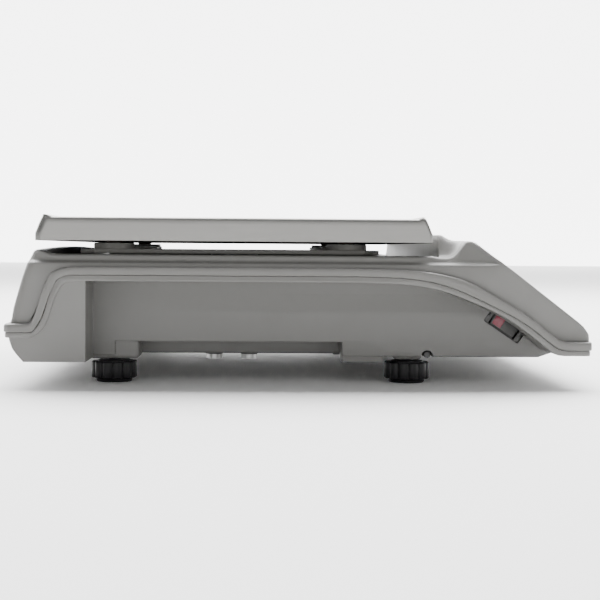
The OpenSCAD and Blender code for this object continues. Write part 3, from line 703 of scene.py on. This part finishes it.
# %% The spider and its posts
span_x, span_y = spider_hi.x - load_x, spider_hi.y
low_z = spider_lo.z
outline = []
for sx, sy in ((1, 1), (-1, 1), (-1, -1), (1, -1)):
    pair = [(sx * span_x, sy * (span_y - 10)), (sx * (span_x - 10), sy * span_y)]
    outline += pair if sx * sy > 0 else pair[::-1]
plate = bevel(prism("spider_cast", [(load_x + x, y) for x, y in outline], "z", low_z, low_z + 2.8), 0.5, 2)
for side in (-1, 1):
    middle = side * (span_y / 2 + 22) - 5
    opening = box("cut", (load_x - span_x + 42, middle - 21, 70), (load_x + span_x - 42, middle + 21, 99))
    plate = boolean(plate, bevel(opening, 6, 4, 60))
POST_X, POST_Y = 75, 110
posts = [(load_x + x * POST_X, y * POST_Y) for x in (-1, 1) for y in (-1, 1)]
for side in (-1, 1):
    rib = box("rib", (load_x + side * (span_x - 34) - 1.5, 30 - span_y, low_z + 1),
              (load_x + side * (span_x - 34) + 1.5, span_y - 30, low_z + 4.8))
    plate = boolean(plate, bevel(rib, 0.6, 2), "UNION")
boss_top = low_z + 6.6
boss_profile = [(0, low_z), (12.6, low_z), (13, low_z + 0.4), (13, low_z + 6.1), (12.5, boss_top),
                (3.05, boss_top), (3.05, low_z + 3.4), (0, low_z + 3.4)]
for x, y in posts:
    plate = boolean(plate, turned("boss", boss_profile, (x, y)), "UNION")
for a in (-1, 1):
    for b in (-1, 1):
        plate = boolean(plate, pin(load_x + a * BOLT_X, CELL_END + b * BOLT_Y, 3.3, 70, 99))
spider = smooth(outward(plate), 40)
spider.name = "spider_cast"
post_profile = [(r, boss_top + rise) for r, rise in (
    (0, -3.1), (2.95, -3.1), (2.95, 0.05), (5, 0.05), (5.4, 0.5), (5.4, 5), (4.9, 5.5), (4.9, 6.3),
    (5.4, 6.8), (5.4, 13.2), (4.6, 14.35), (0, 14.35))]
posts_piece = smooth(joined("rubber_posts", [turned("post", post_profile, place, 32) for place in posts]), 40)
print("spider:", len(spider.data.polygons), "faces, posts at", [(round(x), round(y)) for x, y in posts])

# %% [markdown]
# ## Levelling feet
# Each foot is a lobed knob on a threaded stud, with a rubber pad below it. The lobes are one wavy outline.
# The thread is turned as a row of ridges, 1.25 mm apart, which looks the same as a helix from any distance
# and closes without a seam.

# %% Knobs and pads
KNOB_R, LOBE, LOBES, PITCH = 12.7, 1.65, 12, 1.25
feet = []
for tag in ("rl", "rr", "fl", "fr"):
    lo, hi = (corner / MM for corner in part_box("foot_knob_" + tag))
    cx, cy = (lo.x + hi.x) / 2, (lo.y + hi.y) / 2
    lobes = []
    for n in range(144):
        angle = 2 * math.pi * n / 144
        r = KNOB_R + LOBE * abs(math.sin(LOBES / 2 * angle)) ** 0.6
        lobes.append((cx + r * math.cos(angle), cy + r * math.sin(angle)))
    knob = bevel(prism("knob", lobes, "z", 2.5, 13), 1.2, 3, 50)
    knob = boolean(knob, bevel(pin(cx, cy, 10.3, 9, 13.75, 48), 0.4, 2), "UNION")
    thread = [(0, 12), (3.3, 12)]
    z = 13.4
    while z < hi.z - 1.4:
        thread += [(3.45, z), (3.98, z + 0.5), (3.98, z + 0.7), (3.45, z + 1.2)]
        z += PITCH
    thread += [(3.3, z), (2.7, hi.z - 0.1), (0, hi.z - 0.1)]
    knob = boolean(knob, turned("stud", thread, (cx, cy), 40), "UNION")
    knob.name = "knob_" + tag
    smooth(outward(knob), 38)
    pad_profile = [(0, 0.02), (6, 0.02), (6.4, 0.6), (7.6, 0.6), (8, 0.02), (10.6, 0.02), (11.2, 0.7),
                   (11.2, 1.7), (10.4, 2.38), (0, 2.38)]
    pad = turned("pad_" + tag, pad_profile, (cx, cy), 48)
    smooth(pad, 40)
    feet.append((tag, knob, pad))
print("feet:", len(feet), "knob", len(feet[0][1].data.polygons), "faces")

# %% [markdown]
# ## The operator's panel
# The keys stand a little proud of the panel, each with a shallow dish in its top. Their legends are thin
# raised letters. The readouts behind the window are drawn with seven-bar digits.


# %% Keys
def key_cap(name, s, y):
    cap = box(name, (s - 5.5, y - 9.5, -2.2), (s + 5.5, y + 9.5, 2))
    bevel(cap, 1.1, 3, 40)
    dish = box("dish", (s - 4, y - 8, 1.72), (s + 4, y + 8, 4))
    boolean(cap, bevel(dish, 0.5, 2))
    return smooth(on_panel(outward(cap)), 40)


TEXT_TURN = Matrix(((0, -math.cos(PANEL_ANGLE), math.sin(PANEL_ANGLE)), (1, 0, 0),
                    (0, math.sin(PANEL_ANGLE), math.cos(PANEL_ANGLE)))).to_4x4()


def lettering(name, words, s, y, rise, size):
    bpy.ops.object.select_all(action="DESELECT")
    bpy.ops.object.text_add()
    text = bpy.context.object
    text.data.body = words
    text.data.align_x, text.data.align_y = "CENTER", "CENTER"
    text.data.size, text.data.extrude = size * MM, 0.05 * MM
    text.data.resolution_u = 4
    only(text)
    bpy.ops.object.convert(target="MESH")
    text = added(name)
    text.matrix_world = Matrix.Translation(panel_place(s, y, rise) * MM) @ TEXT_TURN
    bpy.ops.object.transform_apply(location=True, rotation=True, scale=True)
    return text


SHORT_WORDS = {"point": ".", "clear": "C"}
key_pieces, legends = [], []
for node, (s, y) in KEYS.items():
    word = node.split("_")[1]
    key_pieces.append((node, key_cap(node.replace("key", "keycap"), s, y)))
    shown = SHORT_WORDS.get(word, word.upper())
    size = 6.4 if len(shown) == 1 else (3.6 if len(shown) < 5 else 3)
    legends.append((node, lettering("legend_" + word, shown, s, y, 1.74, size)))
captions = [lettering("caption_" + tag, words, 3, y, 0.02, 2.6) for tag, words, y in (
    ("weight", "WEIGHT  kg", -68), ("unit", "UNIT WEIGHT  g", 0), ("count", "COUNT  pcs", 68))]
print("keys:", len(key_pieces))


# %% [markdown]
# A seven-bar digit is up to seven small bars round two squares. Each bar is given by its place in the digit
# and by whether it lies across it, so one loop makes every digit of the three readouts.

# %% Readouts
BAR = 4.2
BARS = {"a": (0, 1, True), "b": (0.5, 0.5, False), "c": (0.5, -0.5, False), "d": (0, -1, True),
        "e": (-0.5, -0.5, False), "f": (-0.5, 0.5, False), "g": (0, 0, True)}
BAR_THICK, DIGIT_PITCH = 0.08, 6.4
DIGITS = {"0": "abcdef"}


def readout(name, digits, y0, rise):
    bars = []
    for n, digit in enumerate(digits):
        if digit == ".":
            continue
        y = y0 + DIGIT_PITCH * (n - digits[:n].count(".") - 2.4)
        for bar in DIGITS[digit]:
            right, up, wide = BARS[bar]
            s_mid, y_mid = WINDOW_S - up * BAR, y + right * BAR
            half_s, half_y = (0.42, 1.7) if wide else (1.75, 0.42)
            bars.append(box("bar", (s_mid - half_s, y_mid - half_y, rise),
                            (s_mid + half_s, y_mid + half_y, rise + BAR_THICK)))
        if digits[n + 1:n + 2] == ".":
            bars.append(box("bar", (21, y + 2.9, rise), (21.7, y + 3.6, rise + BAR_THICK)))
    return on_panel(joined(name, bars))


def height_on_panel(node):
    start = Vector((RIDGE, 0, PANEL_TOP)) * MM
    return max((v.co - start).dot(PANEL_NORMAL) for v in bpy.data.objects[node].data.vertices) / MM


face = height_on_panel("lcd_weight")
readouts = [readout("digits_" + tag, digits, y, face + 0.03) for tag, digits, y in (
    ("weight", "0.000", -68), ("unit", "0.0000", 0), ("count", "0", 68))]
print("readouts stand %.2f mm below the panel" % -face)

# %% [markdown]
# ## The power switch
# A rocker sits in a recessed frame in the left wall, below the flange. Its frame slants along the flank.

# %% Switch
NOTCH_R = 1.9
frame_piece = bevel(box("switch_frame", (-13.15, -5.45, -15), (13.15, 7.25, -1.8)), 0.5, 2)
for end in (-1, 1):
    turns = [n * math.pi / 8 for n in range(16)]
    notch = [(end * 13.4 + NOTCH_R * math.cos(turn), 0.6 + NOTCH_R * math.sin(turn)) for turn in turns]
    frame_piece = boolean(frame_piece, prism("cut", notch, "z", -4, 2))
frame_piece = boolean(frame_piece, box("cut", (-9.9, -4.8, -12), (9.9, 4.8, 2)))
rocker_outline = [(-9.5, -6.2), (-8.8, -1.0), (-8.2, -0.8), (0, -2.2), (8.8, -3.6), (9.1, -3.9), (9.5, -5.8),
                  (0, -8)]
rocker = bevel(prism("switch_cap", rocker_outline, "y", -4.4, 4.4), 0.35, 2, 25)
mark_outline = [(-8.1, -1.1), (-7.9, -0.72), (-1.4, -1.86), (-1.4, -2.4)]
rocker_red = bevel(prism("switch_mark", mark_outline, "y", -3.7, 3.7), 0.1, 1)
for piece in (frame_piece, rocker, rocker_red):
    smooth(at_switch(piece), 40)
print("switch in place")

# %% [markdown]
# ## Surfaces
# Every surface is made from noise in the object's own coordinates: a fine grain that stands as a bump, a
# slower one that varies the roughness, and a third that shifts the colour a little. The stainless steel and
# the aluminium get stretched noise, which reads as brushing.


# %% The material maker
def surface(name, colour, rough, grain=(900, 0.05), vary=0.06, rough_vary=0.06, metal=0.0, stretch=(1, 1, 1),
            clear=0.0, coat=0.0, shine=0.5):
    material = bpy.data.materials.new(name)
    material.use_nodes = True
    nodes, links = material.node_tree.nodes, material.node_tree.links
    shader = nodes["Principled BSDF"]
    place = nodes.new("ShaderNodeTexCoord")
    mapping = nodes.new("ShaderNodeMapping")
    mapping.inputs["Scale"].default_value = stretch
    links.new(place.outputs["Object"], mapping.inputs["Vector"])

    def noise(scale, detail=3.0, source=mapping):
        field = nodes.new("ShaderNodeTexNoise")
        field.inputs["Scale"].default_value = scale
        field.inputs["Detail"].default_value = detail
        links.new(source.outputs[0], field.inputs["Vector"])
        return field

    fine, slow, broad = noise(grain[0]), noise(60), noise(9, 5)
    bump = nodes.new("ShaderNodeBump")
    bump.inputs["Strength"].default_value = grain[1]
    bump.inputs["Distance"].default_value = 0.0004
    links.new(fine.outputs["Fac"], bump.inputs["Height"])
    links.new(bump.outputs["Normal"], shader.inputs["Normal"])
    spread = nodes.new("ShaderNodeMapRange")
    spread.inputs["To Min"].default_value = max(rough - rough_vary, 0.02)
    spread.inputs["To Max"].default_value = min(rough + rough_vary, 1)
    links.new(slow.outputs["Fac"], spread.inputs["Value"])
    links.new(spread.outputs["Result"], shader.inputs["Roughness"])
    tint = nodes.new("ShaderNodeMix")
    tint.data_type = "RGBA"
    tint.inputs[6].default_value = (*(c * (1 - vary) for c in colour), 1)
    tint.inputs[7].default_value = (*(min(c * (1 + vary), 1) for c in colour), 1)
    links.new(broad.outputs["Fac"], tint.inputs[0])
    links.new(tint.outputs[2], shader.inputs["Base Color"])
    shader.inputs["Metallic"].default_value = metal
    shader.inputs["Coat Weight"].default_value = coat
    shader.inputs["Transmission Weight"].default_value = clear
    shader.inputs["Specular IOR Level"].default_value = shine
    return material


BRUSHED = (3, 60, 60)
LOOKS = {
    "casing": surface("abs_casing", (0.155, 0.153, 0.145), 0.45, (1500, 0.09), 0.03, 0.05),
    "key_grey": surface("key_grey", (0.045, 0.055, 0.075), 0.5, (1300, 0.08)),
    "key_light": surface("key_light", (0.34, 0.34, 0.325), 0.5, (1300, 0.08)),
    "stainless": surface("stainless", (0.25, 0.247, 0.237), 0.4, (500, 0.03), 0.04, 0.08, 1.0, BRUSHED),
    "steel": surface("zinc_steel", (0.55, 0.55, 0.54), 0.32, (700, 0.04), 0.08, 0.1, 1.0),
    "cast": surface("cast_alloy", (0.42, 0.415, 0.39), 0.6, (650, 0.25), 0.12, 0.12),
    "alu": surface("milled_aluminium", (0.62, 0.62, 0.63), 0.34, (500, 0.05), 0.05, 0.08, 1.0, BRUSHED),
    "brass": surface("brass", (0.65, 0.47, 0.2), 0.3, (600, 0.05), 0.08, 0.1, 1.0),
    "cap_rubber": surface("post_rubber", (0.06, 0.034, 0.022), 0.6, (1200, 0.2), 0.2),
    "foot_rubber": surface("foot_rubber", (0.008, 0.008, 0.009), 0.7, (1100, 0.3), 0.3, shine=0.2),
    "black_plastic": surface("black_plastic", (0.006, 0.006, 0.007), 0.4, (1300, 0.12), 0.2, shine=0.25),
    "dark_plastic": surface("dark_plastic", (0.055, 0.055, 0.052), 0.45, (1300, 0.1), 0.1),
    "board": surface("circuit_board", (0.012, 0.11, 0.05), 0.4, (900, 0.1), 0.2, coat=0.5),
    "lcd": surface("lcd_glass", (0.3, 0.38, 0.22), 0.28, (700, 0.02), 0.05),
    "window": surface("smoked_window", (0.3, 0.34, 0.33), 0.12, (500, 0.01), 0.03, 0.02,
                      clear=0.85, coat=0.3),
    "red_plastic": surface("red_plastic", (0.2, 0.022, 0.04), 0.3, (1200, 0.06), 0.12),
    "silicone": surface("silicone", (0.3, 0.3, 0.29), 0.6, (900, 0.12)),
    "vial": surface("vial_fluid", (0.5, 0.72, 0.16), 0.08, (400, 0.01), 0.08, clear=0.7),
    "cable": surface("cable_jacket", (0.05, 0.05, 0.055), 0.5, (1500, 0.15), 0.15),
    "ribbon": surface("ribbon_cable", (0.35, 0.35, 0.36), 0.45, (1200, 0.1), 0.12, 0.05, 0, (1, 8, 1)),
    "ink": surface("legend_ink", (0.85, 0.85, 0.82), 0.5, (1600, 0.1), 0.05),
    "dark_ink": surface("caption_ink", (0.012, 0.012, 0.016), 0.5, (1600, 0.1), 0.1),
}
STEEL_NODES = ("case_screws", "spider_bolts", "cell_spacer", "cell_base_bolts", "overload_stop",
               "board_screws", "panel_screws", "battery_strap")
CAD_LOOKS = {
    **dict.fromkeys(STEEL_NODES, "steel"), "platter_cups": "stainless", "spider_pillar": "alu",
    "load_cell": "alu", "main_board": "board", "display_board": "board", "keypad_board": "board",
    "lcd_weight": "lcd", "lcd_unit_weight": "lcd", "lcd_count": "lcd", "display_window": "window",
    "keypad_mat": "silicone", "battery": "black_plastic", "battery_door": "dark_plastic",
    "dc_jack": "black_plastic", "level_holder": "dark_plastic", "level_vial": "vial",
    "foot_inserts": "black_plastic", "cell_cable": "cable", "ribbon_cable": "ribbon"}


def paint(piece, look):
    piece.data.materials.clear()
    piece.data.materials.append(LOOKS[look])


for node, look in CAD_LOOKS.items():
    holder = bpy.data.objects[node]
    if not holder.material_slots:
        holder.data.materials.append(None)
    for spot in holder.material_slots:
        spot.material = LOOKS[look]
print("surfaces:", len(LOOKS))

# %% [markdown]
# ## Light, floor and camera
# The scale stands on a white floor in front of a glowing white wall. A wide lamp above gives the soft main
# light, and three weak ones fill in from the near side and the front, so that the walls under the platter
# aren't black. The camera looks at the left side from bench height, a little below the platter.


# %% Light, floor and camera
def plain(name, colour, glow=0.0):
    material = bpy.data.materials.new(name)
    material.use_nodes = True
    shader = material.node_tree.nodes["Principled BSDF"]
    shader.inputs["Base Color"].default_value = (*colour, 1)
    shader.inputs["Roughness"].default_value = 0.7
    shader.inputs["Emission Color"].default_value = (1, 1, 1, 1)
    shader.inputs["Emission Strength"].default_value = glow
    return material


bpy.ops.object.select_all(action="DESELECT")
bpy.ops.mesh.primitive_plane_add(size=12)
floor = added("floor")
floor.data.materials.append(plain("floor_white", (0.9, 0.9, 0.9)))
bpy.ops.mesh.primitive_plane_add(size=16, location=(0, 5.9, 3), rotation=(math.pi / 2, 0, 0))
backdrop = added("backdrop")
backdrop.data.materials.append(plain("backdrop_white", (0.9, 0.9, 0.9), 5))
world = bpy.data.worlds.new("studio")
bpy.context.scene.world = world
world.use_nodes = True
world.node_tree.nodes["Background"].inputs["Color"].default_value = (1, 1, 1, 1)
world.node_tree.nodes["Background"].inputs["Strength"].default_value = 0.4


def lamp(name, place, aim, size, watts):
    bpy.ops.object.select_all(action="DESELECT")
    bpy.ops.object.light_add(type="AREA", location=place)
    light = bpy.context.object
    light.name = name
    light.data.shape = "RECTANGLE"
    light.data.size, light.data.size_y = size
    light.data.energy = watts
    light.rotation_euler = (Vector(aim) - Vector(place)).to_track_quat("-Z", "Y").to_euler()
    return light


lamp("overhead", (0.1, 0.75, 1.5), (0.05, 0, 0), (2.6, 1.5), 158)
lamp("near_side", (-0.5, -1.9, 1.3), (0, 0, 0.05), (1.4, 0.8), 2)
lamp("low_fill", (-0.1, -2.6, 0.22), (0, 0, 0.08), (2.4, 0.4), 8)
lamp("front_low", (2, -0.6, 0.12), (0, 0, 0.09), (1.4, 0.3), 7)
bpy.ops.object.camera_add(location=(-0.02653, -0.91808, 0.0845))
camera = bpy.context.object
camera.name = "camera"
camera.rotation_euler = (math.pi / 2 - 0.04109, -0.00728, -0.03513)
camera.data.lens, camera.data.sensor_width = 74.71, 36
camera.data.clip_start = 0.05
bpy.context.scene.camera = camera
print("camera looks from", tuple(round(value, 3) for value in camera.location))

# %% [markdown]
# ## Riding and replacing
# Each finished piece gets its surface, the body it moves with, and the engineering nodes it stands for.
# One helper says all three, so that no piece is left without a body.


# %% Bodies
def finish(piece, body, look, *nodes):
    paint(piece, look)
    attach(piece, body)
    if nodes:
        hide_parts(*nodes)


finish(cover, "case", "casing", "top_cover")
finish(base, "case", "casing", "base_case")
finish(platter, "platter", "stainless", "platter")
finish(spider, "spider", "cast", "spider")
finish(posts_piece, "spider", "cap_rubber", "support_caps")
for tag, knob, pad in feet:
    finish(knob, "foot_knob_" + tag, "black_plastic", "foot_knob_" + tag)
    finish(pad, "foot_pad_" + tag, "foot_rubber", "foot_pad_" + tag)
light_keys = ["key_" + word for row in NUMBER_KEYS for word in row if word != "clear"]
for node, cap in key_pieces:
    finish(cap, node, "key_light" if node in light_keys else "key_grey", node)
for node, legend in legends:
    finish(legend, node, "dark_ink" if node in light_keys else "ink")
for caption in captions:
    finish(caption, "case", "dark_ink")
for digits in readouts:
    finish(digits, "case", "dark_ink")
finish(frame_piece, "case", "dark_plastic", "switch_body")
finish(rocker, "switch_rocker", "dark_plastic", "switch_rocker")
finish(rocker_red, "switch_rocker", "red_plastic")
for piece in notch_pins:
    finish(piece, "case", "dark_plastic")
